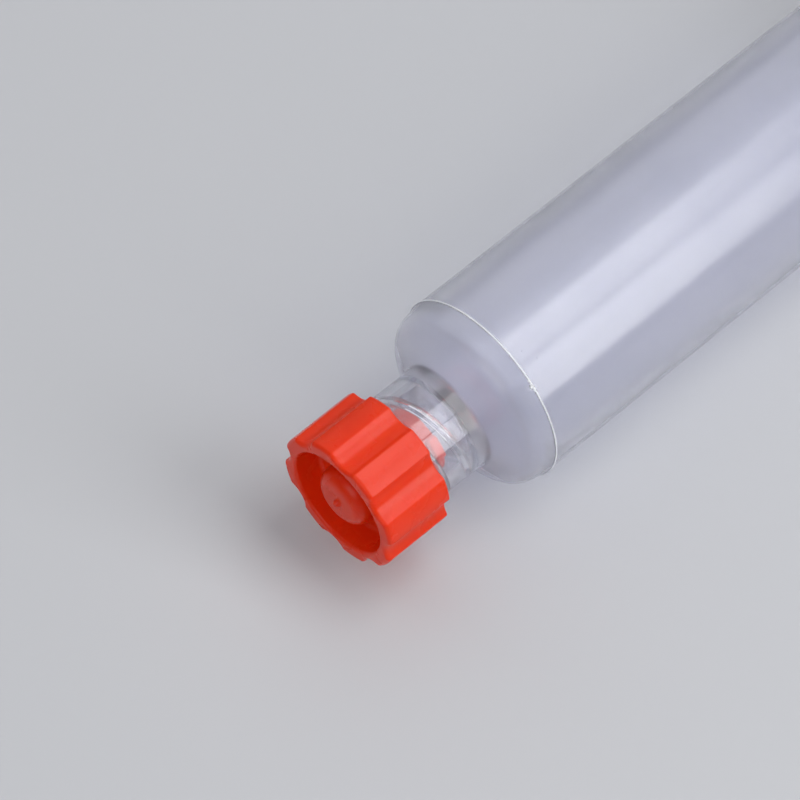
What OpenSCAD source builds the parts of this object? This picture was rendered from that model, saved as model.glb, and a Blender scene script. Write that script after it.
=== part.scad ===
// Dispensing syringe barrel: a moulded tube with a tapered nozzle in a locking collar,
// the fluted cap that screws over its tip, and the wiper piston inside it.
// Along the axis, places are measured from the bead at the shoulder, positive towards the tip.

/* [Tube] */
// Outside diameter of the tube
tube_od = 18; // [15:0.1:24]
// Wall thickness of the tube
tube_wall = 1.1; // [0.8:0.05:1.6]
// Length of the tube from the bead to the mouth
tube_len = 75; // [60:0.5:120]
// Height of the bead above the tube
bead_rise = 0.1; // [0.05:0.01:0.2]
// Radius of the bead's round section
bead_r = 0.25; // [0.2:0.01:0.4]
// Length of the lead-in chamfer inside the mouth
mouth_lead = 0.5; // [0.2:0.05:0.7]

/* [Shoulder] */
// Length of the shoulder's side from the bead to its corner
shoulder_len = 2.3; // [1.6:0.05:3]
// Distance that the shoulder's side draws in over that length
shoulder_in = 0.4; // [0.2:0.05:1]
// Radius that rounds the shoulder's corner
shoulder_round = 2; // [0.5:0.1:2.3]
// Slope of the conical end wall, in degrees from square
cone_angle = 28; // [20:1:40]
// Thickness of the conical end wall
floor_wall = 1.4; // [1:0.05:1.8]
// Radius inside the corner between the tube and the end wall
chamber_round = 1.2; // [0.3:0.1:1.2]

/* [Locking collar] */
// Bore of the collar at the root of its thread
collar_bore = 8; // [7.6:0.1:9]
// Wall thickness of the collar
collar_wall = 1.1; // [0.8:0.05:1.6]
// Material between the end of the drain cone and the floor of the collar
collar_base = 0.75; // [0.4:0.05:1.5]
// Radius of the fillet where the collar meets the end wall
collar_fillet = 0.5; // [0.2:0.05:0.8]

/* [Nozzle] */
// Diameter of the nozzle at its tip
nozzle_tip_d = 3.95; // [3.8:0.01:4.1]
// Change of the nozzle's diameter for each unit of its length
nozzle_taper = 0.06; // [0.04:0.005:0.08]
// Length of the nozzle from the floor of the collar
nozzle_len = 9.6; // [8.5:0.1:12]
// Length of the nozzle that stands out of the collar
nozzle_proud = 2.4; // [2.1:0.1:3]
// Diameter of the drain hole through the nozzle
drain_d = 2.3; // [1.6:0.1:2.6]

/* [Finger flange] */
// Distance that each ear stands out from the tube
ear_reach = 6; // [4:0.1:9]
// Thickness of the flange
flange_t = 2; // [1.4:0.1:3]
// Radius that rounds the flange's edges
flange_round = 0.5; // [0.2:0.05:0.6]
// Radius of the fillet under the flange
flange_fillet = 0.8; // [0.4:0.1:1.5]

/* [Tip cap] */
// Length of the fluted skirt from its rear face to the front rim
cap_len = 6.9; // [6:0.1:8]
// Clearance between the skirt and the collar
skirt_clear = 0.15; // [0.1:0.01:0.3]
// Thickness of the skirt at the bottom of a flute
skirt_wall = 0.7; // [0.5:0.05:1]
// Number of flutes
flute_count = 8; // [6:1:10]
// Depth of a flute
flute_depth = 0.65; // [0.3:0.05:0.8]
// Diameter of a flute's round section
flute_d = 4.1; // [3:0.1:4.6]
// Angle of the first flute from the top of the cap
cap_turn = 39.6; // [0:0.1:45]
// Thickness of the rim round the front recess
rim_wall = 0.8; // [0.7:0.05:1.2]
// Depth of the front recess
recess_depth = 2.7; // [2:0.1:3.1]
// Diameter of the boss in the recess
boss_d = 5.5; // [4.8:0.1:6]
// Radius that rounds the boss's front edge
boss_round = 1.2; // [0.3:0.1:1.3]
// Distance that the boss is set back behind the rim
boss_back = 0.1; // [0:0.05:0.5]
// Thickness of the boss in front of the nozzle's socket
boss_wall = 1.5; // [0.8:0.1:2]
// Diameter of the gate nub on the boss
gate_d = 0.8; // [0.5:0.1:1.2]
// Height of the gate nub
gate_h = 0.35; // [0.1:0.05:0.6]
// Clearance of the socket round the nozzle
socket_clear = 0.03; // [0.01:0.01:0.1]
// Gap between the nozzle's tip and the end of the socket
socket_gap = 0.3; // [0.2:0.05:0.6]
// Gap between the end of the collar and the web inside the cap
web_gap = 0.5; // [0.3:0.05:0.8]
// Gap between the end of the post and the floor of the collar
post_gap = 2.2; // [0.6:0.1:4]
// Room beside the post for the thread and the locking lugs
post_room = 0.8; // [0.6:0.05:1]
// Angle that each locking lug covers round the post
lug_angle = 30; // [15:1:45]
// Thickness of a locking lug along the axis
lug_t = 0.9; // [0.5:0.05:1.2]
// Clearance of the locking lugs in the collar
lug_clear = 0.15; // [0.1:0.01:0.25]
// Angle of the first locking lug from the top of the cap
lug_turn = 131; // [0:1:180]

/* [Piston] */
// Distance of the piston's rear from the mouth
piston_inset = 10; // [2:0.5:30]
// Length of the piston's side from the nose to the rear
piston_len = 10.5; // [8:0.1:16]
// Clearance of the piston's lips in the tube
lip_clear = 0.05; // [0.01:0.01:0.1]
// Width of each lip
lip_w = 1.3; // [0.8:0.1:2]
// Depth of the waist between the lips
waist_depth = 0.5; // [0.3:0.05:0.8]
// Step from the lip in to the edge of the nose
nose_step = 0.45; // [0.3:0.05:0.8]
// Diameter of the flat at the tip of the nose
nose_flat_d = 3; // [2:0.1:5]
// Wall thickness of the piston
piston_wall = 1.2; // [0.9:0.05:1.6]

/* [Moulded edges] */
// Radius that breaks an outer edge
edge_round = 0.15; // [0.05:0.05:0.2]
// Radius inside a corner
inner_round = 0.3; // [0.1:0.05:0.4]
// Radius of the cap's front edges
front_round = 0.4; // [0.2:0.05:0.5]
// Radius round the floor of the cap's recess
recess_round = 0.5; // [0.2:0.05:0.8]
// Distance that the walls of the cap's recess draw in towards its floor
mould_draft = 0.15; // [0:0.05:0.3]

/* [Hidden] */
$fn = 96;
// Extra length of a cut past the faces that it opens
cut_over = 1;

// Tube and end wall
tube_r = tube_od / 2;
bore_r = tube_r - tube_wall;
slope = tan(cone_angle);
corner_r = tube_r - shoulder_in;
floor_drop = floor_wall / cos(cone_angle);
drain_r = drain_d / 2;
function wall_outside(r) = shoulder_len + (corner_r - r) * slope;
function wall_inside(r) = wall_outside(r) - floor_drop;

// Collar and nozzle
collar_r = collar_bore / 2;
hub_r = collar_r + collar_wall;
collar_floor = wall_inside(drain_r) + collar_base;
nozzle_tip = collar_floor + nozzle_len;
hub_end = nozzle_tip - nozzle_proud;
function nozzle_r(at) = nozzle_tip_d / 2 + (nozzle_tip - at) * nozzle_taper / 2;

// Tip cap
skirt_r = hub_r + skirt_clear;
flute_r = skirt_r + skirt_wall;
land_r = flute_r + flute_depth;
recess_r = flute_r - rim_wall;
boss_r = boss_d / 2;
socket_end = nozzle_tip + socket_gap;
boss_front = socket_end + boss_wall;
cap_front = boss_front + boss_back;
cap_rear = cap_front - cap_len;
recess_floor = cap_front - recess_depth;
web_rear = hub_end + web_gap;
post_r = collar_r - post_room;
post_end = collar_floor + post_gap;
lug_r = collar_r - lug_clear;

// Piston
lip_r = bore_r - lip_clear;
waist_r = lip_r - waist_depth;
nose_r = lip_r - nose_step;
nose_flat_r = nose_flat_d / 2;
hollow_r = waist_r - piston_wall;
piston_rear = piston_inset - tube_len;
nose_base = piston_rear + piston_len;
nose_drop = piston_wall / cos(cone_angle);
function nose_outside(r) = nose_base + (nose_r - r) * slope;
function nose_inside(r) = nose_outside(r) - nose_drop;

// Flange and place of the whole
ear_r = tube_r + ear_reach;
flange_in = (bore_r + mouth_lead + tube_r) / 2;
flange_root = 2.5 * flange_fillet;
rest_h = tube_r + bead_rise;
tip_reach = max(cap_front, boss_front + gate_h);
middle = (tip_reach - tube_len) / 2;

function unit(v) = v / norm(v);

// Points of the arc that rounds corner b between a and c. The walls beside it limit its radius.
function arc(a, b, c, radius, steps = 6) =
    let (
        u = unit(a - b),
        v = unit(c - b),
        half = acos(u * v) / 2,
        r = min(radius, 0.49 * min(norm(a - b), norm(c - b)) * tan(half)),
        centre = b + unit(u + v) * r / sin(half),
        first = b + u * r / tan(half) - centre,
        last = b + v * r / tan(half) - centre,
        turn = (180 - 2 * half) * sign(cross(first, last))
    )
    [for (i = [0 : steps])
        let (t = turn * i / steps)
        centre + [first.x * cos(t) - first.y * sin(t), first.x * sin(t) + first.y * cos(t)]];

// Outline through corners given as [radius from the axis, place along it, rounding]
function rounded(corners) =
    let (
        count = len(corners),
        flat = [for (c = corners) [c.x, c.y]]
    )
    [for (i = [0 : count - 1])
        each corners[i].z > 0
            ? arc(flat[(i + count - 1) % count], flat[i], flat[(i + 1) % count], corners[i].z)
            : [flat[i]]];

module revolve(corners) {
    rotate_extrude() polygon(rounded(corners));
}

// Lays the axis down with the tip towards -X and the whole centred over the origin
module lay() {
    translate([middle, 0, rest_h]) rotate([0, -90, 0]) children();
}

// Tube, end wall, collar and nozzle as one section
module barrel_body() {
    revolve([
        [bore_r + mouth_lead, -tube_len, 0],
        [tube_r, -tube_len, 0],
        [tube_r, 0, 0],
        [corner_r, shoulder_len, shoulder_round],
        [hub_r, wall_outside(hub_r), collar_fillet],
        [hub_r, hub_end, edge_round],
        [collar_r, hub_end, edge_round],
        [collar_r, collar_floor, inner_round],
        [nozzle_r(collar_floor), collar_floor, inner_round],
        [nozzle_r(nozzle_tip), nozzle_tip, edge_round],
        [drain_r, nozzle_tip, 0],
        [drain_r, wall_inside(drain_r), inner_round],
        [bore_r, wall_inside(bore_r), chamber_round],
        [bore_r, mouth_lead - tube_len, 0],
    ]);
}

module bead() {
    rotate_extrude() translate([rest_h - bead_r, 0]) circle(bead_r);
}

// Two ears, with flats level with the bead so that the barrel lies straight
module flange() {
    intersection() {
        revolve([
            [flange_in, -tube_len, 0],
            [ear_r, -tube_len, flange_round],
            [ear_r, flange_t - tube_len, flange_round],
            [tube_r, flange_t - tube_len, flange_fillet],
            [tube_r, flange_t - tube_len + flange_root, 0],
            [flange_in, flange_t - tube_len + flange_root, 0],
        ]);
        translate([-rest_h, -ear_r - cut_over, -tube_len - cut_over])
            cube([2 * rest_h, 2 * (ear_r + cut_over), flange_t + flange_root + 2 * cut_over]);
    }
}

module barrel() {
    color([0.82, 0.84, 0.88, 0.6])
    lay()
    union() {
        barrel_body();
        bead();
        flange();
    }
}

// Skirt, web, front boss and hollow post as one section
module cap_body() {
    revolve([
        [0, boss_front, 0],
        [boss_r, boss_front, boss_round],
        [boss_r + mould_draft, recess_floor, recess_round],
        [recess_r - mould_draft, recess_floor, recess_round],
        [recess_r, cap_front, inner_round],
        [land_r, cap_front, front_round],
        [land_r, cap_rear, edge_round],
        [skirt_r, cap_rear, edge_round],
        [skirt_r, web_rear, inner_round],
        [post_r, web_rear, inner_round],
        [post_r, post_end, edge_round],
        [nozzle_r(post_end) + socket_clear, post_end, edge_round],
        [nozzle_r(socket_end) + socket_clear, socket_end, 0],
        [0, socket_end, 0],
    ]);
}

// Round groove along the whole skirt
module flute() {
    translate([flute_r + flute_d / 2, 0, cap_rear - cut_over])
        cylinder(d = flute_d, h = cap_len + 2 * cut_over);
}

// Two lugs that lock in the collar's thread, on opposite sides of the post's end
module locking_lugs() {
    lug_root = post_r - edge_round;
    lug_low = post_end + edge_round;
    for (side = [0, 180])
        rotate(lug_turn + side - lug_angle / 2)
            rotate_extrude(angle = lug_angle)
                polygon([
                    [lug_root, lug_low],
                    [lug_r, lug_low + edge_round],
                    [lug_r, lug_low + lug_t - edge_round],
                    [lug_root, lug_low + lug_t],
                ]);
}

module gate_nub() {
    translate([0, 0, boss_front - edge_round])
        cylinder(d1 = gate_d, d2 = gate_d - 2 * edge_round, h = gate_h + edge_round);
}

module tip_cap() {
    color([0.91, 0.24, 0.11])
    lay()
    union() {
        difference() {
            cap_body();
            for (i = [0 : flute_count - 1])
                rotate(cap_turn + i * 360 / flute_count) flute();
        }
        locking_lugs();
        gate_nub();
    }
}

module piston() {
    color([0.95, 0.95, 0.93])
    lay()
    revolve([
        [0, nose_outside(nose_flat_r), 0],
        [nose_flat_r, nose_outside(nose_flat_r), inner_round],
        [nose_r, nose_base, edge_round],
        [lip_r, nose_base - nose_step, edge_round],
        [lip_r, nose_base - nose_step - lip_w, edge_round],
        [waist_r, nose_base - nose_step - lip_w - waist_depth, inner_round],
        [waist_r, piston_rear + lip_w + waist_depth, inner_round],
        [lip_r, piston_rear + lip_w, edge_round],
        [lip_r, piston_rear, edge_round],
        [hollow_r, piston_rear, edge_round],
        [hollow_r, nose_inside(hollow_r), inner_round],
        [nose_flat_r, nose_inside(nose_flat_r), inner_round],
        [0, nose_inside(nose_flat_r), 0],
    ]);
}

barrel();
tip_cap();
piston();
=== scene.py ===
"""Looks of a dispensing syringe barrel, its tip cap and its wiper piston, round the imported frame."""

import logging
import math
from abc import ABC, abstractmethod
from dataclasses import dataclass
from enum import Enum, IntEnum
from typing import Any, Callable, ClassVar, Sequence

import bpy
from mathutils import Matrix, Vector


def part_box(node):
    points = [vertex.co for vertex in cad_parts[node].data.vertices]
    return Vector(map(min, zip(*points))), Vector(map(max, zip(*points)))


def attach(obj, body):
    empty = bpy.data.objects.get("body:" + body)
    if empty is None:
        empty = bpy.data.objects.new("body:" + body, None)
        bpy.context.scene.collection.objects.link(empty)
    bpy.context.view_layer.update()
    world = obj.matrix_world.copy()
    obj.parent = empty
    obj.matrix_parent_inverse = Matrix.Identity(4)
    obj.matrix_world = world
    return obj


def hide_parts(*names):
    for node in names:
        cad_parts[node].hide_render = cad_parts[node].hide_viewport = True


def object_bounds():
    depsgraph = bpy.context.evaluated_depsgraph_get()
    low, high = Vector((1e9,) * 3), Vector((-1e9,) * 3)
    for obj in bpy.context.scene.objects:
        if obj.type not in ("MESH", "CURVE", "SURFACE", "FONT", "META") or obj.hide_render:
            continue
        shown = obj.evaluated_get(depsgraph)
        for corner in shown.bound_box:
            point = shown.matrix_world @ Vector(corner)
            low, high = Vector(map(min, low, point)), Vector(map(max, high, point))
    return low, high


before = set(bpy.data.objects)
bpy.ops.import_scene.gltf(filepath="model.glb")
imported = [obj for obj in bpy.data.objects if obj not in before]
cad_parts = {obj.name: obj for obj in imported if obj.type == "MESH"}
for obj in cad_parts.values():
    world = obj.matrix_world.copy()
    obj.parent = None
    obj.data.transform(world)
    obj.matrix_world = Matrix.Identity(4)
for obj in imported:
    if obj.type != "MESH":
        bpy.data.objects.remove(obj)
CAD_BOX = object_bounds()
LOG = logging.getLogger("syringe_barrel")
MM = 0.001
# Most of a noise texture's values lie between these two.
NOISE_LOW = 0.3
NOISE_HIGH = 0.7
BUMP_STRENGTH = 0.5
# The colour sockets of a Mix node, by number because its other kinds of data use the same names.
MIX_FIRST = 6
MIX_SECOND = 7
MIX_RESULT = 2
# Light of every colour sinks in equally far.
EVEN_SINK = (1.0, 1.0, 1.0)
# The most of an edge that the rounding at one of its ends takes, and the fewest parts of an arc.
ROUNDING_SHARE = 0.49
FEWEST_PARTS = 2
# Points nearer than the first are merged, and points nearer than the second to a cut lie on it.
MERGE_DISTANCE = 0.0005 * MM
CUT_DISTANCE = 0.0001 * MM
# Large faces keep their own direction at a smooth edge.
FACE_WEIGHT = 100


class Body(Enum):
    """The bodies that the pieces ride on, each with one node of the same name."""

    BARREL = "barrel"
    TIP_CAP = "tip_cap"
    PISTON = "piston"


class Slot(Enum):
    """The record's material slots."""

    BARREL = "natural_polypropylene"
    TIP_CAP = "orange_plastic"
    PISTON = "white_polyethylene"


class BarrelSkin(IntEnum):
    """The barrel's finishes, by the number of their material on the piece."""

    TUBE = 0
    COLLAR = 1
    PAINTED_HIGHLIGHT = 2


def linear(code: str) -> tuple[float, float, float, float]:
    """Turns an sRGB hex colour into the linear colour that a shader takes.

    Args:
        code: Six hex digits after a hash sign.

    Returns:
        Red, green, blue and an alpha of 1.
    """
    shares = [int(code[i:i + 2], 16) / 255 for i in (1, 3, 5)]
    curved = [s / 12.92 if s <= 0.04045 else ((s + 0.055) / 1.055) ** 2.4 for s in shares]
    return (curved[0], curved[1], curved[2], 1.0)


def add_node(
    tree: bpy.types.NodeTree,
    kind: str,
    settings: dict[str | int, Any] | None = None,
    links: dict[str | int, bpy.types.NodeSocket] | None = None,
) -> bpy.types.Node:
    """Adds a node with its settings and links.

    Args:
        tree: The tree that gets the node.
        kind: The node's type name.
        settings: Values by the name or number of a socket, or by the name of a property.
        links: Sockets of other nodes by the name or number of the socket that they feed.

    Returns:
        The new node.
    """
    node = tree.nodes.new(kind)
    for name, value in (settings or {}).items():
        if isinstance(name, int) or name in node.inputs:
            node.inputs[name].default_value = value
        else:
            setattr(node, name, value)
    for name, socket in (links or {}).items():
        tree.links.new(socket, node.inputs[name])
    return node


def new_material(name: str) -> tuple[bpy.types.Material, bpy.types.NodeTree]:
    """Makes a material with an empty node tree.

    Args:
        name: The material's name.

    Returns:
        The material and its tree.
    """
    material = bpy.data.materials.new(name)
    material.use_nodes = True
    material.node_tree.nodes.clear()
    return material, material.node_tree


class Finish(ABC):
    """A surface as its material and its mould leave it."""

    @abstractmethod
    def material(self) -> bpy.types.Material:
        """Makes the material."""


@dataclass(frozen=True)
class NaturalPolypropylene(Finish):
    """Uncoloured polypropylene, as milky and as glossy as its wall and its mould make it.

    It lets light through, a little blurred, so lamps also reach what is inside it. Its gloss is soft, with
    faint flow lines along the tube and cloudy patches where the melt cooled unevenly.
    """

    name: str
    transmission: float
    roughness: tuple[float, float]
    clear: str = "#EDEDF3"
    cloudy: str = "#DCDDE6"
    ior: float = 1.49
    mirror: float = 0.36
    lamp_pass: str = "#DEDFE5"
    cloud_size: float = 9.0 * MM
    cloud_detail: float = 3.0
    streak_width: float = 0.9 * MM
    streak_detail: float = 2.0
    streak_stretch: float = 0.04
    streak_depth: float = 0.012 * MM
    glow: float = 1.6 * MM

    def material(self) -> bpy.types.Material:
        """Makes the material.

        Returns:
            Milky, glossy, translucent plastic.
        """
        material, tree = new_material(self.name)
        place = add_node(tree, "ShaderNodeTexCoord").outputs["Object"]
        cloud = add_node(
            tree,
            "ShaderNodeTexNoise",
            {"Scale": 1 / self.cloud_size, "Detail": self.cloud_detail},
            {"Vector": place},
        )
        stretched = add_node(
            tree, "ShaderNodeMapping", {"Scale": (self.streak_stretch, 1.0, 1.0)}, {"Vector": place}
        )
        streak = add_node(
            tree,
            "ShaderNodeTexNoise",
            {"Scale": 1 / self.streak_width, "Detail": self.streak_detail},
            {"Vector": stretched.outputs["Vector"]},
        )
        tint = add_node(
            tree,
            "ShaderNodeMix",
            {"data_type": "RGBA", MIX_FIRST: linear(self.clear), MIX_SECOND: linear(self.cloudy)},
            {"Factor": cloud.outputs["Fac"]},
        )
        rough = add_node(
            tree,
            "ShaderNodeMapRange",
            {
                "From Min": NOISE_LOW,
                "From Max": NOISE_HIGH,
                "To Min": self.roughness[0],
                "To Max": self.roughness[1],
            },
            {"Value": streak.outputs["Fac"]},
        )
        bump = add_node(
            tree,
            "ShaderNodeBump",
            {"Strength": BUMP_STRENGTH, "Distance": self.streak_depth},
            {"Height": streak.outputs["Fac"]},
        )
        shader = add_node(
            tree,
            "ShaderNodeBsdfPrincipled",
            {
                "IOR": self.ior,
                "Specular IOR Level": self.mirror,
                "Transmission Weight": self.transmission,
                "Subsurface Weight": 1.0,
                "Subsurface Scale": self.glow,
                "Subsurface Radius": EVEN_SINK,
            },
            {
                "Base Color": tint.outputs[MIX_RESULT],
                "Roughness": rough.outputs["Result"],
                "Normal": bump.outputs["Normal"],
            },
        )
        lamp_side = add_node(tree, "ShaderNodeBsdfTransparent", {"Color": linear(self.lamp_pass)})
        ray = add_node(tree, "ShaderNodeLightPath")
        # A Mix Shader's sockets go by number, because two of them share a name.
        both = add_node(
            tree,
            "ShaderNodeMixShader",
            links={
                0: ray.outputs["Is Shadow Ray"],
                1: shader.outputs["BSDF"],
                2: lamp_side.outputs["BSDF"],
            },
        )
        add_node(tree, "ShaderNodeOutputMaterial", links={"Surface": both.outputs["Shader"]})
        return material


@dataclass(frozen=True)
class PaintedHighlightPolypropylene(Finish):
    """Uncoloured polypropylene painted white: a painted highlight, with bright glints of its own.

    It paints the bright lines that light makes on the bead, which is flash on the mould's parting line,
    and on the edges of the thread.
    """

    colour: str = "#F3F5FA"
    roughness: float = 0.2
    transmission: float = 0.1
    glow: float = 0.3 * MM

    def material(self) -> bpy.types.Material:
        """Makes the material.

        Returns:
            White plastic that lets little light through.
        """
        material, tree = new_material("natural_polypropylene_painted_highlight")
        shader = add_node(
            tree,
            "ShaderNodeBsdfPrincipled",
            {
                "Base Color": linear(self.colour),
                "Roughness": self.roughness,
                "Transmission Weight": self.transmission,
                "Subsurface Weight": 1.0,
                "Subsurface Scale": self.glow,
                "Subsurface Radius": EVEN_SINK,
            },
        )
        add_node(tree, "ShaderNodeOutputMaterial", links={"Surface": shader.outputs["BSDF"]})
        return material


@dataclass(frozen=True)
class ColouredPolyethylene(Finish):
    """Coloured polyethylene from a finely eroded mould.

    It is opaque but light sinks in a little, so its shaded hollows stay saturated. Its gloss is soft and
    broken up by a fine orange peel.
    """

    name: str
    colour: str
    deeper: str
    roughness: tuple[float, float]
    sink: tuple[float, float, float]
    sink_depth: float
    peel_size: float = 0.35 * MM
    peel_detail: float = 2.0
    peel_depth: float = 0.006 * MM
    patch_size: float = 3.0 * MM
    patch_detail: float = 3.0
    ior: float = 1.51
    mirror: float = 0.33
    depth_share: float = 0.35

    def material(self) -> bpy.types.Material:
        """Makes the material.

        Returns:
            Soft-gloss, slightly deep plastic.
        """
        material, tree = new_material(self.name)
        place = add_node(tree, "ShaderNodeTexCoord").outputs["Object"]
        patch = add_node(
            tree,
            "ShaderNodeTexNoise",
            {"Scale": 1 / self.patch_size, "Detail": self.patch_detail},
            {"Vector": place},
        )
        peel = add_node(
            tree,
            "ShaderNodeTexNoise",
            {"Scale": 1 / self.peel_size, "Detail": self.peel_detail},
            {"Vector": place},
        )
        tint = add_node(
            tree,
            "ShaderNodeMix",
            {"data_type": "RGBA", MIX_FIRST: linear(self.colour), MIX_SECOND: linear(self.deeper)},
            {"Factor": patch.outputs["Fac"]},
        )
        rough = add_node(
            tree,
            "ShaderNodeMapRange",
            {
                "From Min": NOISE_LOW,
                "From Max": NOISE_HIGH,
                "To Min": self.roughness[0],
                "To Max": self.roughness[1],
            },
            {"Value": patch.outputs["Fac"]},
        )
        bump = add_node(
            tree,
            "ShaderNodeBump",
            {"Strength": BUMP_STRENGTH, "Distance": self.peel_depth},
            {"Height": peel.outputs["Fac"]},
        )
        shader = add_node(
            tree,
            "ShaderNodeBsdfPrincipled",
            {
                "IOR": self.ior,
                "Specular IOR Level": self.mirror,
                "Subsurface Weight": self.depth_share,
                "Subsurface Scale": self.sink_depth,
                "Subsurface Radius": self.sink,
            },
            {
                "Base Color": tint.outputs[MIX_RESULT],
                "Roughness": rough.outputs["Result"],
                "Normal": bump.outputs["Normal"],
            },
        )
        add_node(tree, "ShaderNodeOutputMaterial", links={"Surface": shader.outputs["BSDF"]})
        return material


@dataclass(frozen=True)
class PaleSheet(Finish):
    """The floor: a plain pale sheet with a faint, blurred gloss."""

    colour: str = "#C9CACD"
    roughness: float = 0.42
    mirror: float = 0.3

    def material(self) -> bpy.types.Material:
        """Makes the material.

        Returns:
            Plain pale grey.
        """
        material, tree = new_material("pale_sheet")
        shader = add_node(
            tree,
            "ShaderNodeBsdfPrincipled",
            {
                "Base Color": linear(self.colour),
                "Roughness": self.roughness,
                "Specular IOR Level": self.mirror,
            },
        )
        add_node(tree, "ShaderNodeOutputMaterial", links={"Surface": shader.outputs["BSDF"]})
        return material


MILKY = NaturalPolypropylene(
    name="natural_polypropylene_moulded",
    transmission=0.84,
    roughness=(0.14, 0.18),
)
CLEARER = NaturalPolypropylene(
    name="natural_polypropylene_polished",
    transmission=0.9,
    roughness=(0.07, 0.09),
)
# Painted highlight: white for the bead's crest and for the thread's edges on the lit side.
PAINTED_HIGHLIGHT = PaintedHighlightPolypropylene()
ORANGE = ColouredPolyethylene(
    name="orange_polyethylene_moulded",
    colour="#F23C0D",
    deeper="#E6330B",
    roughness=(0.24, 0.32),
    sink=(1.0, 0.25, 0.1),
    sink_depth=1.4 * MM,
    mirror=0.24,
    depth_share=0.65,
)
WHITE = ColouredPolyethylene(
    name="white_polyethylene_moulded",
    colour="#F1F0EB",
    deeper="#E9E8E2",
    roughness=(0.36, 0.46),
    sink=(1.0, 0.9, 0.8),
    sink_depth=1.0 * MM,
)


@dataclass(frozen=True)
class Axis:
    """The line that the tube, the nozzle, the cap and the piston share.

    Attributes:
        bead_x: Where the bead's middle is along X. Places are measured from it towards the tip.
        height: How far the line lies above the floor.
    """

    bead_x: float
    height: float

    def point(self, radius: float, place: float, turn: float = 0.0) -> Vector:
        """Finds a point round the axis.

        Args:
            radius: Distance from the axis.
            place: Distance from the bead towards the tip.
            turn: Angle from straight up towards +Y, in radians.

        Returns:
            The point in the frame.
        """
        return Vector(
            (self.bead_x - place, radius * math.sin(turn), self.height + radius * math.cos(turn))
        )

    def read(self, point: Vector) -> tuple[float, float, float]:
        """Finds a point's radius, place and turn, as point() takes them.

        Args:
            point: A point in the frame.

        Returns:
            Its radius, place and turn.
        """
        side, rise = point.y, point.z - self.height
        return math.hypot(side, rise), self.bead_x - point.x, math.atan2(side, rise)

    def spin(self, steps: int, angle: float) -> None:
        """Spins what is selected in edit mode round the axis, the way that turns are counted.

        Args:
            steps: How many steps it takes.
            angle: How far it goes.
        """
        bpy.ops.mesh.spin(steps=steps, angle=angle, center=(0.0, 0.0, self.height), axis=(1.0, 0.0, 0.0))


@dataclass(frozen=True)
class Corner:
    """A corner of an outline: its radius from the axis, its place along it and how far it is rounded."""

    radius: float
    place: float
    rounding: float = 0.0

    def spot(self) -> Vector:
        """The corner as a flat point."""
        return Vector((self.radius, self.place))


def rounded(corners: Sequence[Corner], closed: bool, step: float = math.radians(12)) -> list[Vector]:
    """Works out an outline with its corners rounded.

    Args:
        corners: The sharp outline.
        closed: Whether the last corner joins the first.
        step: The most that an arc turns between two points.

    Returns:
        Flat points of radius and place.
    """
    points: list[Vector] = []
    count = len(corners)
    for i, corner in enumerate(corners):
        here = corner.spot()
        at_end = not closed and i in (0, count - 1)
        if at_end or corner.rounding == 0:
            points.append(here)
            continue
        back = corners[i - 1].spot() - here
        ahead = corners[(i + 1) % count].spot() - here
        half = back.angle(ahead) / 2
        reach = min(corner.rounding / math.tan(half), ROUNDING_SHARE * min(back.length, ahead.length))
        radius = reach * math.tan(half)
        inward = (back.normalized() + ahead.normalized()).normalized()
        centre = here + inward * (radius / math.sin(half))
        first = here + back.normalized() * reach - centre
        last = here + ahead.normalized() * reach - centre
        sweep = -first.angle_signed(last)
        parts = max(FEWEST_PARTS, math.ceil(abs(sweep) / step))
        for part in range(parts + 1):
            points.append(centre + Matrix.Rotation(sweep * part / parts, 2) @ first)
    return points


def deselect() -> None:
    """Leaves edit mode and deselects every object."""
    if bpy.context.object and bpy.context.object.mode == "EDIT":
        bpy.ops.object.mode_set(mode="OBJECT")
    bpy.ops.object.select_all(action="DESELECT")


def make_active(piece: bpy.types.Object) -> None:
    """Selects one object alone and makes it the active one.

    Args:
        piece: The object.
    """
    deselect()
    piece.select_set(True)
    bpy.context.view_layer.objects.active = piece


def name_new(name: str) -> bpy.types.Object:
    """Names the primitive just added, and puts its place in its mesh.

    Args:
        name: The object's name.

    Returns:
        The object.
    """
    piece = bpy.context.object
    piece.name = name
    piece.data.name = name
    bpy.ops.object.transform_apply(location=True, rotation=True, scale=True)
    return piece


def pick(piece: bpy.types.Object, wanted: Callable[[Vector], bool]) -> None:
    """Selects the vertices that lie where a test says, and the edges and faces between them, in edit mode.

    Args:
        piece: The active object.
        wanted: The test of a vertex's place.
    """
    bpy.ops.object.mode_set(mode="EDIT")
    bpy.ops.mesh.select_mode(type="VERT")
    bpy.ops.mesh.select_all(action="DESELECT")
    bpy.ops.object.mode_set(mode="OBJECT")
    for vertex in piece.data.vertices:
        vertex.select = wanted(vertex.co)
    bpy.ops.object.mode_set(mode="EDIT")


def apply_modifier(piece: bpy.types.Object, kind: str, settings: dict[str, Any]) -> None:
    """Adds a modifier to a piece and applies it.

    Args:
        piece: The piece.
        kind: The modifier's type name.
        settings: Its properties.
    """
    make_active(piece)
    bpy.ops.object.modifier_add(type=kind)
    modifier = piece.modifiers[-1]
    for name, value in settings.items():
        setattr(modifier, name, value)
    bpy.ops.object.modifier_apply(modifier=modifier.name)


def unite(piece: bpy.types.Object, other: bpy.types.Object) -> None:
    """Melts another closed mesh into a piece and deletes the other.

    Args:
        piece: The piece that stays.
        other: What is added to it.
    """
    apply_modifier(piece, "BOOLEAN", {"operation": "UNION", "solver": "EXACT", "object": other})
    bpy.data.objects.remove(other)


def edit_all() -> None:
    """Goes into edit mode on the active object and selects all of its mesh."""
    bpy.ops.object.mode_set(mode="EDIT")
    bpy.ops.mesh.select_all(action="SELECT")


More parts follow.
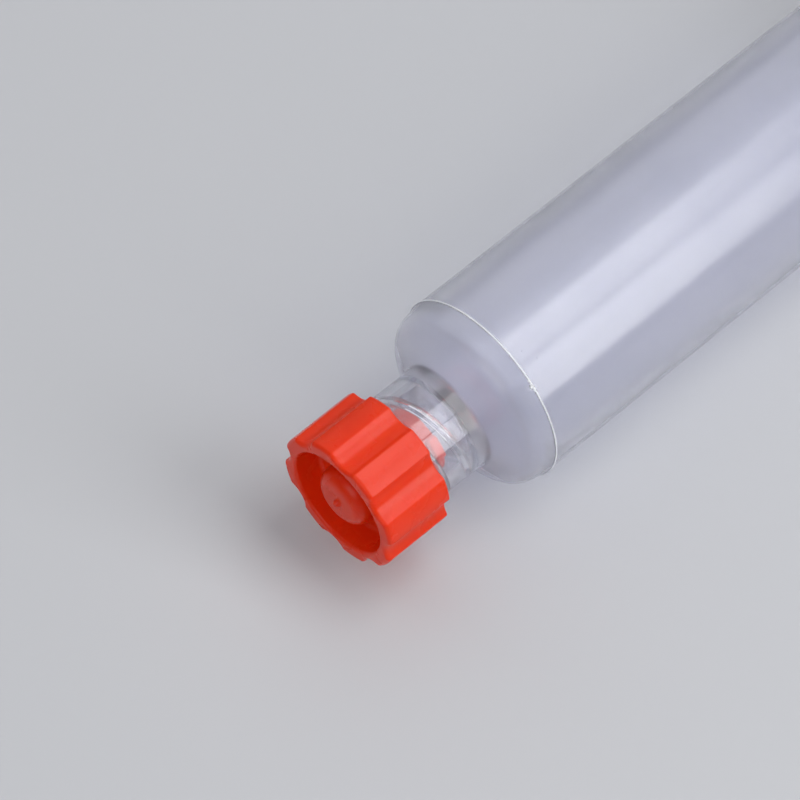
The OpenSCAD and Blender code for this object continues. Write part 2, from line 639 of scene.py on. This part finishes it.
def close_up() -> None:
    """Merges doubles on the mesh in edit mode, turns its faces outwards and leaves edit mode."""
    bpy.ops.mesh.select_all(action="SELECT")
    bpy.ops.mesh.remove_doubles(threshold=MERGE_DISTANCE)
    bpy.ops.mesh.normals_make_consistent(inside=False)
    bpy.ops.object.mode_set(mode="OBJECT")


def smooth(piece: bpy.types.Object, crease: float) -> None:
    """Shades a piece smooth, with flats kept flat beside their rounded edges.

    Args:
        piece: The piece.
        crease: Edges sharper than this angle stay sharp.
    """
    make_active(piece)
    bpy.ops.object.shade_smooth_by_angle(angle=crease)
    apply_modifier(piece, "WEIGHTED_NORMAL", {"keep_sharp": True, "weight": FACE_WEIGHT})


@dataclass
class Moulding(ABC):
    """A piece turned round the axis from one outline, as its mould was.

    Attributes:
        axis: The line that the outline turns round.
    """

    axis: Axis
    piece_name: ClassVar[str]
    body: ClassVar[Body]
    slot: ClassVar[Slot]
    steps: ClassVar[int]
    closed: ClassVar[bool]
    first_turn: ClassVar[float] = 0.0
    crease: ClassVar[float] = math.radians(32)

    @abstractmethod
    def corners(self) -> list[Corner]:
        """Gives the outline's corners."""

    @abstractmethod
    def finish(self) -> Finish:
        """Gives the piece's finish."""

    def detail(self, piece: bpy.types.Object) -> None:
        """Adds what the turned outline lacks.

        Args:
            piece: The turned piece, in object mode.
        """

    def dress(self, piece: bpy.types.Object) -> None:
        """Gives the piece its finish.

        Args:
            piece: The modelled piece.
        """
        piece.data.materials.clear()
        piece.data.materials.append(self.finish().material())

    def turned(self) -> bpy.types.Object:
        """Draws the outline from one point and spins it round the axis.

        Returns:
            The turned piece, closed and in object mode.
        """
        flat = rounded(self.corners(), self.closed)
        if self.closed:
            flat.append(flat[0])
        points = [self.axis.point(spot.x, spot.y, self.first_turn) for spot in flat]
        deselect()
        bpy.ops.mesh.primitive_plane_add(size=MM, location=points[0])
        piece = name_new(self.piece_name)
        edit_all()
        bpy.ops.mesh.merge(type="CENTER")
        for here, there in zip(points, points[1:]):
            bpy.ops.mesh.extrude_vertices_move(TRANSFORM_OT_translate={"value": there - here})
        bpy.ops.mesh.select_all(action="SELECT")
        self.axis.spin(self.steps, math.tau)
        close_up()
        return piece

    def build(self) -> bpy.types.Object:
        """Builds the piece, dresses it and puts it on its body.

        Returns:
            The finished piece.
        """
        piece = self.turned()
        self.detail(piece)
        smooth(piece, self.crease)
        self.dress(piece)
        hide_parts(self.body.value)
        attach(piece, self.body.value)
        LOG.info("%s: %d faces", piece.name, len(piece.data.polygons))
        return piece


@dataclass(frozen=True)
class Flaw:
    """A flake of torn flash on the bead, or a speck behind it.

    Attributes:
        turn: Where it is round the axis.
        place: Where it is along the axis.
        size: How far it reaches.
    """

    turn: float
    place: float
    size: float


@dataclass
class Barrel(Moulding):
    """The barrel: tube, finger flange, bead, conical end wall, threaded locking collar and nozzle.

    A painted highlight whitens the bead above bead_highlight_share of its rise, and the thread's edges
    from thread_highlight_start to thread_highlight_end round the axis, from thread_highlight_low to
    thread_highlight_high of their rounding in from the crest. A flaw fills flaw_share of its size, more or
    less in waves.
    """

    tube_length: float = 75.0 * MM
    tube_radius: float = 9.0 * MM
    wall: float = 1.1 * MM
    mouth_lead: float = 0.5 * MM
    flange_thickness: float = 2.0 * MM
    flange_edge: float = 0.5 * MM
    flange_fillet: float = 0.8 * MM
    bead_rise: float = 0.1 * MM
    bead_half: float = 0.12 * MM
    bead_edge: float = 0.05 * MM
    shoulder_length: float = 2.3 * MM
    shoulder_taper: float = 0.4 * MM
    shoulder_round: float = 2.0 * MM
    cone_angle: float = math.radians(28)
    floor_wall: float = 1.4 * MM
    chamber_round: float = 1.2 * MM
    collar_radius: float = 5.1 * MM
    collar_bore: float = 4.0 * MM
    collar_depth: float = 7.2 * MM
    collar_root: float = 0.5 * MM
    nozzle_base: float = 2.263 * MM
    nozzle_tip: float = 1.975 * MM
    nozzle_length: float = 9.6 * MM
    drain: float = 1.15 * MM
    collar_base: float = 0.75 * MM
    fine_edge: float = 0.15 * MM
    fillet: float = 0.3 * MM
    thread_lead: float = 5.08 * MM
    thread_starts: int = 2
    thread_crest: float = 3.55 * MM
    thread_crest_width: float = 0.45 * MM
    thread_root_width: float = 1.05 * MM
    thread_bite: float = 0.15 * MM
    thread_edge: float = 0.14 * MM
    thread_first: float = 5.9 * MM
    thread_last: float = 12.1 * MM
    thread_seen_place: float = 7.28 * MM
    thread_seen_turn: float = math.radians(-26)
    thread_fade: int = 5
    thread_steps: int = 96
    # The thread's edges are painted white as a highlight between these turns, on the side that faces the
    # key light.
    thread_highlight_start: float = math.radians(-50)
    thread_highlight_end: float = math.radians(16)
    thread_highlight_low: float = 0.02
    thread_highlight_high: float = 0.6
    # The bead is painted white above this share of its rise, as a highlight line.
    bead_highlight_share: float = 1 / 3
    bead_highlight_reach: float = 0.6 * MM
    flaws: tuple[Flaw, ...] = (
        Flaw(math.radians(-41.4), 0.12 * MM, 0.3 * MM),
        Flaw(math.radians(-43.2), 0.0, 0.2 * MM),
        Flaw(math.radians(-39.8), 0.05 * MM, 0.14 * MM),
        Flaw(math.radians(-23.2), -1.09 * MM, 0.07 * MM),
        Flaw(math.radians(-31.2), -1.82 * MM, 0.08 * MM),
    )
    flaw_share: float = 0.75
    flaw_wave: float = 0.12
    flaw_waves: tuple[float, float] = (5.0, 4.0)
    flaw_shifts: tuple[float, float] = (3.0, 2.0)
    flaw_subdivisions: int = 2

    piece_name: ClassVar[str] = "barrel_moulding"
    body: ClassVar[Body] = Body.BARREL
    slot: ClassVar[Slot] = Slot.BARREL
    steps: ClassVar[int] = 192
    closed: ClassVar[bool] = True

    def finish(self) -> Finish:
        """Gives the piece's finish."""
        return MILKY

    def cone_place(self, radius: float) -> float:
        """Gives the place of the end wall's outside at a radius."""
        corner = self.tube_radius - self.shoulder_taper
        return self.shoulder_length + (corner - radius) * math.tan(self.cone_angle)

    def wall_inside(self, radius: float) -> float:
        """Gives the place of the end wall's inside at a radius."""
        return self.cone_place(radius) - self.floor_wall / math.cos(self.cone_angle)

    def collar_floor(self) -> float:
        """Gives the place of the floor between the collar and the nozzle."""
        return self.wall_inside(self.drain) + self.collar_base

    def corners(self) -> list[Corner]:
        """Gives the outline's corners, from the mouth along the outside to the tip and back inside.

        Returns:
            The closed outline of the wall.
        """
        mouth = -self.tube_length
        ear = CAD_BOX[1].y
        bore = self.tube_radius - self.wall
        collar_floor = self.collar_floor()
        collar_end = collar_floor + self.collar_depth
        tip = collar_floor + self.nozzle_length
        crest = self.tube_radius + self.bead_rise
        flange = [
            Corner(bore + self.mouth_lead, mouth),
            Corner(ear, mouth, self.flange_edge),
            Corner(ear, mouth + self.flange_thickness, self.flange_edge),
            Corner(self.tube_radius, mouth + self.flange_thickness, self.flange_fillet),
        ]
        bead = [
            Corner(self.tube_radius, -self.bead_half, self.bead_edge),
            Corner(crest, -self.bead_half / 2, self.bead_edge),
            Corner(crest, self.bead_half / 2, self.bead_edge),
            Corner(self.tube_radius - self.bead_half / 4, self.bead_half, self.bead_edge),
        ]
        end_wall = [
            Corner(self.tube_radius - self.shoulder_taper, self.shoulder_length, self.shoulder_round),
            Corner(self.collar_radius, self.cone_place(self.collar_radius), self.collar_root),
        ]
        # The first point lies on the straight outside, where the milky root ends.
        collar = [
            Corner(self.collar_radius, collar_floor),
            Corner(self.collar_radius, collar_end, self.fine_edge),
            Corner(self.collar_bore, collar_end, self.fine_edge),
            Corner(self.collar_bore, collar_floor, self.fillet),
        ]
        nozzle = [
            Corner(self.nozzle_base, collar_floor, self.fillet),
            Corner(self.nozzle_tip, tip, self.fine_edge),
            Corner(self.drain, tip),
            Corner(self.drain, self.wall_inside(self.drain), self.fillet),
        ]
        chamber = [
            Corner(bore, self.wall_inside(bore), self.chamber_round),
            Corner(bore, mouth + self.mouth_lead),
        ]
        return flange + bead + end_wall + collar + nozzle + chamber

    def detail(self, piece: bpy.types.Object) -> None:
        """Cuts the flange's flats, melts in the thread, and adds the bead's burr and the specks behind it.

        Args:
            piece: The turned piece.
        """
        for up in (1.0, -1.0):
            self.cut_flat(piece, up)
        for start in range(self.thread_starts):
            unite(piece, self.ridge(start * math.tau / self.thread_starts))
        for flaw in self.flaws:
            unite(piece, self.lump(flaw))

    def dress(self, piece: bpy.types.Object) -> None:
        """Gives the tube its finish and the collar its own, and paints a highlight white on the bead and
        on the thread's lit edges.

        Args:
            piece: The modelled piece.
        """
        super().dress(piece)
        for finish in (CLEARER, PAINTED_HIGHLIGHT):
            piece.data.materials.append(finish.material())
        bead_highlight_radius = self.tube_radius + self.bead_highlight_share * self.bead_rise
        root_end = self.collar_floor()
        for face in piece.data.polygons:
            radius, place, turn = self.axis.read(face.center)
            on_bead = radius > bead_highlight_radius and abs(place) < self.bead_highlight_reach
            above_crest = (radius - self.thread_crest) / self.thread_edge
            on_edge = self.thread_highlight_low < above_crest < self.thread_highlight_high
            on_thread = on_edge and self.thread_first < place < self.thread_last
            # Painted highlight: the bead's crest, its flakes and the thread's lit edges are painted white.
            if on_bead or (on_thread and self.thread_highlight_start < turn < self.thread_highlight_end):
                face.material_index = BarrelSkin.PAINTED_HIGHLIGHT
            elif place > root_end:
                face.material_index = BarrelSkin.COLLAR
            else:
                face.material_index = BarrelSkin.TUBE

    def cut_flat(self, piece: bpy.types.Object, up: float) -> None:
        """Cuts the flange level with the bead on one side.

        Args:
            piece: The piece.
            up: 1 for the upper flat and -1 for the one that it rests on.
        """
        make_active(piece)
        start = self.axis.bead_x + self.tube_length - 2 * self.flange_thickness
        pick(piece, lambda spot: spot.x > start)
        level = CAD_BOX[1].z if up > 0 else CAD_BOX[0].z
        bpy.ops.mesh.bisect(
            plane_co=(0.0, 0.0, level),
            plane_no=(0.0, 0.0, up),
            use_fill=True,
            clear_outer=True,
            threshold=CUT_DISTANCE,
        )
        bpy.ops.object.mode_set(mode="OBJECT")

    def lump(self, flaw: Flaw) -> bpy.types.Object:
        """Models one flake of torn flash or one speck.

        Args:
            flaw: Where it is, and its size.

        Returns:
            An uneven closed mesh, half sunk in the tube.
        """
        deselect()
        middle = self.axis.point(self.tube_radius, flaw.place, flaw.turn)
        bpy.ops.mesh.primitive_ico_sphere_add(
            subdivisions=self.flaw_subdivisions, radius=flaw.size, location=middle
        )
        lump = name_new("lump")
        waves_along, waves_across = self.flaw_waves
        shift_along, shift_across = self.flaw_shifts
        for vertex in lump.data.vertices:
            away = vertex.co - middle
            along = math.sin(waves_along * away.x / flaw.size + shift_along * flaw.turn)
            across = math.cos(waves_across * away.y / flaw.size - shift_across * flaw.turn)
            vertex.co = middle + away * (self.flaw_share + self.flaw_wave * (along + across))
        return lump

    def ridge(self, turn: float) -> bpy.types.Object:
        """Models one start of the collar's thread: a ridge on a right-handed helix, faded at both ends.

        Args:
            turn: Where this start lies, from the first one.

        Returns:
            A closed mesh whose root lies in the collar's wall.
        """
        length = self.thread_last - self.thread_first
        turns = length / self.thread_lead
        behind = (self.thread_last - self.thread_seen_place) / self.thread_lead
        first_turn = self.thread_seen_turn + turn + behind * math.tau
        root = self.collar_bore + self.thread_bite
        crest_half = self.thread_crest_width / 2
        root_half = self.thread_root_width / 2
        corners = [
            Corner(root, self.thread_last + root_half),
            Corner(self.thread_crest, self.thread_last + crest_half, self.thread_edge),
            Corner(self.thread_crest, self.thread_last - crest_half, self.thread_edge),
            Corner(root, self.thread_last - root_half),
        ]
        section = rounded(corners, closed=True)
        deselect()
        bpy.ops.mesh.primitive_circle_add(vertices=len(section), radius=self.thread_root_width)
        ridge = name_new("thread_ridge")
        for vertex, spot in zip(ridge.data.vertices, section):
            vertex.co = self.axis.point(spot.x, spot.y, first_turn) - Vector((0.0, 0.0, self.axis.height))
        steps = round(turns * self.thread_steps)
        apply_modifier(
            ridge,
            "SCREW",
            {
                "axis": "X",
                "angle": turns * math.tau,
                "screw_offset": length,
                "steps": steps,
                "render_steps": steps,
                "use_smooth_shade": False,
            },
        )
        self.fade_ends(ridge, len(section))
        ridge.location.z = self.axis.height
        make_active(ridge)
        bpy.ops.object.transform_apply(location=True, rotation=True, scale=True)
        return ridge

    def fade_ends(self, ridge: bpy.types.Object, section: int) -> None:
        """Sinks the last rings of a ridge into the wall and closes its ends.

        Args:
            ridge: The ridge, with its axis through the origin.
            section: How many points its section has.
        """
        depth = self.collar_bore - self.thread_crest + self.thread_bite / 2
        last = len(ridge.data.vertices) // section - 1
        for ring in range(last + 1):
            share = 1 - min(ring, last - ring) / self.thread_fade
            if share <= 0:
                continue
            for vertex in ridge.data.vertices[ring * section:(ring + 1) * section]:
                outward = Vector((0.0, vertex.co.y, vertex.co.z)).normalized()
                vertex.co += outward * depth * share
        make_active(ridge)
        edit_all()
        bpy.ops.mesh.fill_holes(sides=section)
        close_up()


@dataclass
class TipCap(Moulding):
    """The tip cap: fluted skirt, recess with boss and gate nub, and hollow post with two lugs.

    Attributes:
        collar_floor: The place of the floor between the collar and the nozzle, behind the cap's post.
        front_reach: How far in front of that floor the cap's front is.
    """

    collar_floor: float
    front_reach: float = 11.5 * MM
    skirt_length: float = 6.9 * MM
    land_radius: float = 6.6 * MM
    flute_radius: float = 5.95 * MM
    flute_section: float = 2.05 * MM
    flute_edge: float = 0.07 * MM
    flutes: int = 8
    flute_fade: float = 5.45 * MM
    skirt_bore: float = 5.25 * MM
    recess_radius: float = 5.15 * MM
    recess_depth: float = 2.7 * MM
    draft: float = 0.15 * MM
    boss_radius: float = 2.75 * MM
    boss_round: float = 1.2 * MM
    boss_drop: float = 0.1 * MM
    web: float = 1.1 * MM
    post_radius: float = 3.2 * MM
    post_length: float = 9.2 * MM
    socket_start: float = 2.227 * MM
    socket_end: float = 1.996 * MM
    socket_top: float = 1.6 * MM
    gate_radius: float = 0.4 * MM
    gate_flat: float = 0.24 * MM
    gate_round: float = 0.2 * MM
    gate_root: float = 0.1 * MM
    gate_height: float = 0.35 * MM
    lug_reach: float = 3.85 * MM
    lug_thickness: float = 0.9 * MM
    lug_angle: float = math.radians(30)
    lug_turn: float = math.radians(131)
    lug_steps: int = 12
    lug_edge: float = 0.15 * MM
    lug_edge_segments: int = 3
    lug_edge_angle: float = math.radians(40)
    rim_round: float = 0.4 * MM
    recess_round: float = 0.5 * MM
    fine_edge: float = 0.15 * MM
    fillet: float = 0.3 * MM

    piece_name: ClassVar[str] = "tip_cap_moulding"
    body: ClassVar[Body] = Body.TIP_CAP
    slot: ClassVar[Slot] = Slot.TIP_CAP
    steps: ClassVar[int] = 384
    closed: ClassVar[bool] = False
    first_turn: ClassVar[float] = math.radians(39.6)
    crease: ClassVar[float] = math.radians(50)

    def finish(self) -> Finish:
        """Gives the piece's finish."""
        return ORANGE

    def front(self) -> float:
        """Gives the place of the cap's front."""
        return self.collar_floor + self.front_reach

    def rear(self) -> float:
        """Gives the place of the skirt's rear end."""
        return self.front() - self.skirt_length

    def post_end(self) -> float:
        """Gives the place of the post's end."""
        return self.front() - self.boss_drop - self.post_length

    def corners(self) -> list[Corner]:
        """Gives the outline's corners, from the gate nub over the outside to the top of the socket.

        Returns:
            The outline, from the axis to the axis.
        """
        front = self.front()
        rear = self.rear()
        post_end = self.post_end()
        boss = front - self.boss_drop
        gate = boss + self.gate_height
        floor = front - self.recess_depth
        under = floor - self.web
        face = [
            Corner(0.0, gate),
            Corner(self.gate_flat, gate, self.gate_round),
            Corner(self.gate_radius, boss, self.gate_root),
            Corner(self.boss_radius, boss, self.boss_round),
            Corner(self.boss_radius + self.draft, floor, self.recess_round),
            Corner(self.recess_radius - self.draft, floor, self.recess_round),
            Corner(self.recess_radius, front, self.fillet),
        ]
        skirt = [
            Corner(self.land_radius, front, self.rim_round),
            Corner(self.land_radius, rear, self.fine_edge),
            Corner(self.skirt_bore, rear, self.fine_edge),
            Corner(self.skirt_bore, under, self.fillet),
        ]
        post = [
            Corner(self.post_radius, under, self.fillet),
            Corner(self.post_radius, post_end, self.fine_edge),
            Corner(self.socket_start, post_end, self.fine_edge),
            Corner(self.socket_end, front - self.socket_top),
            Corner(0.0, front - self.socket_top),
        ]
        return face + skirt + post

    def detail(self, piece: bpy.types.Object) -> None:
        """Presses in the flutes and adds the lugs.

        Args:
            piece: The turned piece.
        """
        self.press_flutes(piece)
        for side in (0.0, math.pi):
            unite(piece, self.lug(self.lug_turn + side))

    def fluted(self, turn: float) -> tuple[float, float]:
        """Gives the skirt's outside at one step of the spin.

        The steps are spread so that two of them lie close beside each edge of a flute.

        Args:
            turn: Angle from straight up towards +Y, on a step that is counted from a flute's middle.

        Returns:
            The radius, with the flutes' edges rounded, and the turn that the step is moved to.
        """
        pitch = math.tau / self.flutes
        side = (turn - self.first_turn + pitch / 2) % pitch - pitch / 2
        step = abs(side) / (math.tau / self.steps)
        middle = self.flute_radius + self.flute_section
        reach = self.land_radius ** 2 + middle ** 2 - self.flute_section ** 2
        edge = math.acos(reach / (2 * self.land_radius * middle))
        beside = self.flute_edge / self.land_radius
        half_steps = self.steps / self.flutes / 2
        edge_step = half_steps // 2
        if step <= edge_step - 0.5:
            away = (edge - beside) * step / (edge_step - 1)
        elif step < edge_step + 0.5:
            away = edge
        else:
            away = edge + beside
            away += (pitch / 2 - away) * (step - edge_step - 1) / (half_steps - edge_step - 1)
        radius = self.land_radius
        if away < edge:
            across = middle * math.sin(away)
            radius = middle * math.cos(away) - math.sqrt(self.flute_section ** 2 - across ** 2)
        elif away == edge:
            radius -= self.flute_edge / 4
        return radius, turn - side + math.copysign(away, side)

    def press_flutes(self, piece: bpy.types.Object) -> None:
        """Moves the skirt's outside in to the flutes, less and less across the two end faces.

        Args:
            piece: The turned piece.
        """
        rear = self.rear()
        full = self.land_radius - self.rim_round
        for vertex in piece.data.vertices:
            radius, place, turn = self.axis.read(vertex.co)
            if radius <= self.flute_fade or place < rear - self.fine_edge:
                continue
            share = min(1.0, (radius - self.flute_fade) / (full - self.flute_fade))
            outside, moved_turn = self.fluted(turn)
            moved = radius - share * (self.land_radius - outside)
            vertex.co = self.axis.point(moved, place, turn + share * (moved_turn - turn))

    def lug(self, turn: float) -> bpy.types.Object:
        """Models one locking lug: a section spun part of the way round the post.

        Args:
            turn: Where the lug's middle is.

        Returns:
            A closed mesh whose root lies in the post.
        """
        low = self.post_end() + self.fine_edge
        root = self.post_radius - self.fine_edge
        deselect()
        bpy.ops.mesh.primitive_plane_add(size=self.lug_thickness)
        lug = name_new("lug")
        section = [
            (root, low),
            (self.lug_reach, low),
            (root, low + self.lug_thickness),
            (self.lug_reach, low + self.lug_thickness),
        ]
        for vertex, (radius, place) in zip(lug.data.vertices, section):
            vertex.co = self.axis.point(radius, place, turn - self.lug_angle / 2)
        edit_all()
        self.axis.spin(self.lug_steps, self.lug_angle)
        close_up()
        apply_modifier(
            lug,
            "BEVEL",
            {
                "width": self.lug_edge,
                "segments": self.lug_edge_segments,
                "limit_method": "ANGLE",
                "angle_limit": self.lug_edge_angle,
            },
        )
        return lug


@dataclass
class WiperPiston(Moulding):
    """The wiper piston: conical nose, two wiping lips with a waist between them, hollow from behind."""

    rear: float = -65.0 * MM
    length: float = 10.5 * MM
    lip_radius: float = 7.85 * MM
    lip_width: float = 1.3 * MM
    waist_radius: float = 7.35 * MM
    nose_radius: float = 7.4 * MM
    nose_flat: float = 1.5 * MM
    nose_angle: float = math.radians(28)
    nose_wall: float = 1.2 * MM
    hollow_radius: float = 6.15 * MM
    fine_edge: float = 0.15 * MM
    fillet: float = 0.3 * MM

    piece_name: ClassVar[str] = "piston_moulding"
    body: ClassVar[Body] = Body.PISTON
    slot: ClassVar[Slot] = Slot.PISTON
    steps: ClassVar[int] = 160
    closed: ClassVar[bool] = False

    def finish(self) -> Finish:
        """Gives the piece's finish."""
        return WHITE

    def corners(self) -> list[Corner]:
        """Gives the outline's corners, from the nose over the lips to the bottom of the hollow.

        Returns:
            The outline, from the axis to the axis.
        """
        base = self.rear + self.length
        slope = math.tan(self.nose_angle)
        drop = self.nose_wall / math.cos(self.nose_angle)
        nose = base + (self.nose_radius - self.nose_flat) * slope
        ramp = self.lip_radius - self.nose_radius
        front_lip = base - ramp
        waist_ramp = self.lip_radius - self.waist_radius
        outside = [
            Corner(0.0, nose),
            Corner(self.nose_flat, nose, self.fillet),
            Corner(self.nose_radius, base, self.fine_edge),
            Corner(self.lip_radius, front_lip, self.fine_edge),
            Corner(self.lip_radius, front_lip - self.lip_width, self.fine_edge),
            Corner(self.waist_radius, front_lip - self.lip_width - waist_ramp, self.fillet),
            Corner(self.waist_radius, self.rear + self.lip_width + waist_ramp, self.fillet),
            Corner(self.lip_radius, self.rear + self.lip_width, self.fine_edge),
            Corner(self.lip_radius, self.rear, self.fine_edge),
        ]
        hollow_end = base + (self.nose_radius - self.hollow_radius) * slope - drop
        hollow = [
            Corner(self.hollow_radius, self.rear, self.fine_edge),
            Corner(self.hollow_radius, hollow_end, self.fillet),
            Corner(self.nose_flat, nose - drop, self.fillet),
            Corner(0.0, nose - drop),
        ]
        return outside + hollow


@dataclass(frozen=True)
class Softbox:
    """A soft studio light that hangs along the tube and faces the object.

    Attributes:
        name: The light's name.
        toward: Direction from the object to the light.
        distance: How far away it hangs.
        size: Its length along the tube and its width across.
        power: Its power in watts.
    """

    name: str
    toward: tuple[float, float, float]
    distance: float
    size: tuple[float, float]
    power: float

    def build(self, aim: Vector) -> bpy.types.Object:
        """Hangs the light.

        Args:
            aim: The point that it faces.

        Returns:
            The light.
        """
        data = bpy.data.lights.new(self.name, "AREA")
        data.shape = "RECTANGLE"
        data.size, data.size_y = self.size
        data.energy = self.power
        light = bpy.data.objects.new(self.name, data)
        bpy.context.scene.collection.objects.link(light)
        direction = Vector(self.toward).normalized()
        light.location = aim + direction * self.distance
        across = direction.cross(Vector((1.0, 0.0, 0.0))).normalized()
        along = across.cross(direction)
        light.rotation_euler = Matrix((along, across, direction)).transposed().to_euler()
        light.visible_camera = False
        return light


@dataclass
class Studio:
    """The pale floor, the soft lights and the camera."""

    axis: Axis
    floor_size: float = 4.0
    azimuth: float = math.radians(-43.61)
    elevation: float = math.radians(56.05)
    distance: float = 450.0 * MM
    lens: float = 238.2
    sensor: float = 36.0
    aim_right: float = -6.945 * MM
    aim_up: float = -0.995 * MM
    surround: str = "#6B6E75"
    surround_strength: float = 0.8
    lights: tuple[Softbox, ...] = (
        Softbox("key_softbox", toward=(0.3, -0.791, 0.533), distance=0.6, size=(0.27, 0.437), power=1.7),
        Softbox("upper_softbox", toward=(0.3, -0.259, 0.966), distance=0.6, size=(0.27, 0.33), power=1.05),
        Softbox("overhead_softbox", toward=(0.2, 0.55, 0.8), distance=0.8, size=(1.2, 1.2), power=2.6),
        Softbox("fill_softbox", toward=(-0.7, -0.25, 0.67), distance=0.7, size=(0.5, 0.5), power=1.3),
    )

    def lay_floor(self) -> bpy.types.Object:
        """Lays the floor.

        Returns:
            The floor.
        """
        deselect()
        bpy.ops.mesh.primitive_plane_add(size=self.floor_size)
        floor = name_new("floor")
        floor.data.materials.append(PaleSheet().material())
        return floor

    def set_surround(self) -> None:
        """Gives the world a plain dim grey."""
        world = bpy.data.worlds.new("surround")
        world.use_nodes = True
        world.node_tree.nodes.clear()
        back = add_node(
            world.node_tree,
            "ShaderNodeBackground",
            {"Color": linear(self.surround), "Strength": self.surround_strength},
        )
        add_node(world.node_tree, "ShaderNodeOutputWorld", links={"Surface": back.outputs["Background"]})
        bpy.context.scene.world = world

    def set_camera(self) -> bpy.types.Object:
        """Sets the camera at the photograph's angle.

        Returns:
            The camera.
        """
        back = Vector(
            (
                math.sin(self.azimuth) * math.cos(self.elevation),
                -math.cos(self.azimuth) * math.cos(self.elevation),
                math.sin(self.elevation),
            )
        )
        turn = (-back).to_track_quat("-Z", "Y")
        right = turn @ Vector((1.0, 0.0, 0.0))
        up = turn @ Vector((0.0, 1.0, 0.0))
        data = bpy.data.cameras.new("camera")
        data.sensor_width = self.sensor
        data.lens = self.lens
        camera = bpy.data.objects.new("camera", data)
        bpy.context.scene.collection.objects.link(camera)
        aim = self.axis.point(0.0, 0.0) + right * self.aim_right + up * self.aim_up
        camera.location = aim + back * self.distance
        camera.rotation_euler = turn.to_euler()
        bpy.context.scene.camera = camera
        return camera

    def build(self) -> None:
        """Builds the studio."""
        self.lay_floor()
        self.set_surround()
        self.set_camera()
        aim = self.axis.point(0.0, 0.0)
        for light in self.lights:
            light.build(aim)
        bpy.context.scene.view_settings.view_transform = "Standard"


def find_axis(tube_length: float) -> Axis:
    """Reads the axis from the frame: the barrel's box is even about it, and its mouth is at the high end.

    Args:
        tube_length: From the bead to the mouth.

    Returns:
        The axis.
    """
    low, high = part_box(Body.BARREL.value)
    return Axis(bead_x=high.x - tube_length, height=(low.z + high.z) / 2)


def main() -> None:
    """Builds the pieces in order, then the studio."""
    logging.basicConfig(level=logging.INFO, format="%(message)s")
    axis = find_axis(Barrel.tube_length)
    barrel = Barrel(axis)
    for moulding in (barrel, TipCap(axis, barrel.collar_floor()), WiperPiston(axis)):
        moulding.build()
    Studio(axis).build()


if __name__ == "__main__":
    main()
